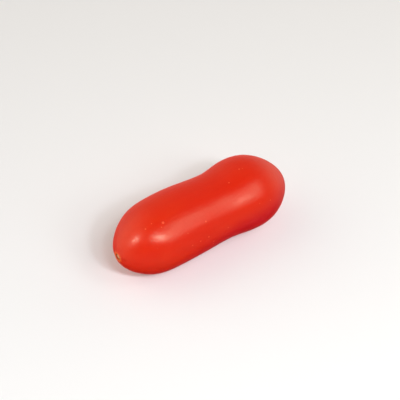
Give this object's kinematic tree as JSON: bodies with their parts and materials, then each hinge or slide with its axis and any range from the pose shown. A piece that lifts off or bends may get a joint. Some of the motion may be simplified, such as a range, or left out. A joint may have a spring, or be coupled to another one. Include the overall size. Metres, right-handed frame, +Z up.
{
  "type": "cherry tomato",
  "caption": "Long, waisted ripe cherry tomato without its calyx: a glossy red fruit with rounded ends and a small stem scar, lying on its side.",
  "frame": {"origin": "middle of the underside of the bounding box, on the surface that the fruit lies on", "axes": "+X along the fruit from its stem end to its blossom end, +Y across it, +Z up from the surface"},
  "size_m": [0.0574, 0.0224, 0.0213],
  "materials": {
    "skin": "smooth, waxy and glossy, as a ripe tomato's skin is"
  },
  "bodies": {
    "root": {"tomato": "skin"}
  },
  "joints": []
}
